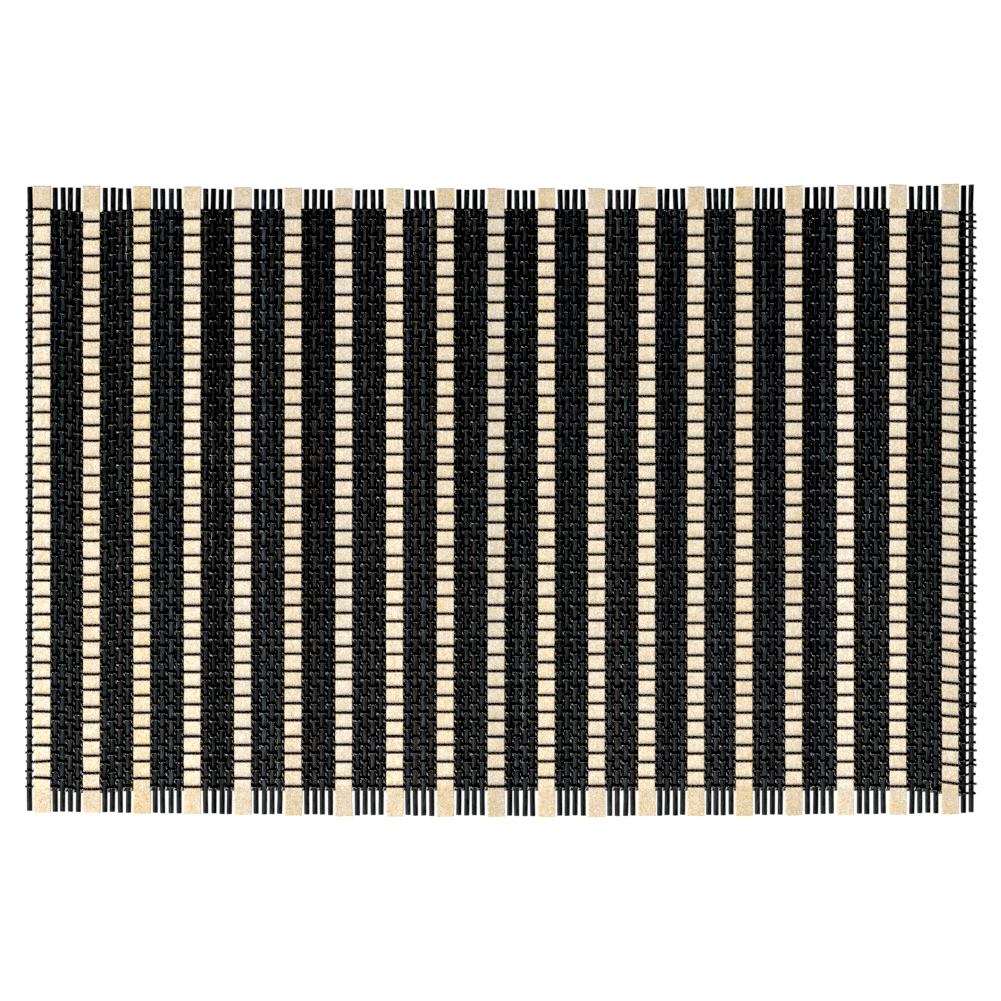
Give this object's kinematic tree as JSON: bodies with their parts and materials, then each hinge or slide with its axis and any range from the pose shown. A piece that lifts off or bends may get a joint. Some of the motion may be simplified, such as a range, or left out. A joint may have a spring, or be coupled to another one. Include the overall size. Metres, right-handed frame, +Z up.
{
  "type": "bamboo placemat",
  "caption": "Flat rectangular placemat of wide natural bamboo slats and thin black bamboo sticks, woven side by side on black cotton threads, with free slat ends along both long edges.",
  "frame": {"origin": "the middle of the mat's underside, on the table", "axes": "+X along the mat's length, across the slats, towards the end with two black sticks; +Y along the slats; +Z up"},
  "size_m": [0.4494, 0.3006, 0.003],
  "materials": {
    "natural_bamboo": "planed bamboo, unvarnished, fine lengthwise grain",
    "black_cotton": "black twisted cotton thread, matt with slight sheen on the twist",
    "black_bamboo": "dyed black bamboo, satin, fine lengthwise grain"
  },
  "bodies": {
    "root": {"natural_slat_01": "natural_bamboo", "natural_slat_02": "natural_bamboo", "natural_slat_03": "natural_bamboo", "natural_slat_04": "natural_bamboo", "natural_slat_05": "natural_bamboo", "natural_slat_06": "natural_bamboo", "natural_slat_07": "natural_bamboo", "natural_slat_08": "natural_bamboo", "natural_slat_09": "natural_bamboo", "natural_slat_10": "natural_bamboo", "natural_slat_11": "natural_bamboo", "natural_slat_12": "natural_bamboo", "natural_slat_13": "natural_bamboo", "natural_slat_14": "natural_bamboo", "natural_slat_15": "natural_bamboo", "natural_slat_16": "natural_bamboo", "natural_slat_17": "natural_bamboo", "natural_slat_18": "natural_bamboo", "natural_slat_19": "natural_bamboo", "black_band_01": "black_cotton", "black_band_02": "black_cotton", "black_band_03": "black_cotton", "black_band_04": "black_cotton", "black_band_05": "black_cotton", "black_band_06": "black_cotton", "black_band_07": "black_cotton", "black_band_08": "black_cotton", "black_band_09": "black_cotton", "black_band_10": "black_cotton", "black_band_11": "black_cotton", "black_band_12": "black_cotton", "black_band_13": "black_cotton", "black_band_14": "black_cotton", "black_band_15": "black_cotton", "black_band_16": "black_cotton", "black_band_17": "black_cotton", "black_band_18": "black_cotton", "left_edge_stick": "black_bamboo", "right_edge_sticks": "black_bamboo"}
  },
  "joints": []
}
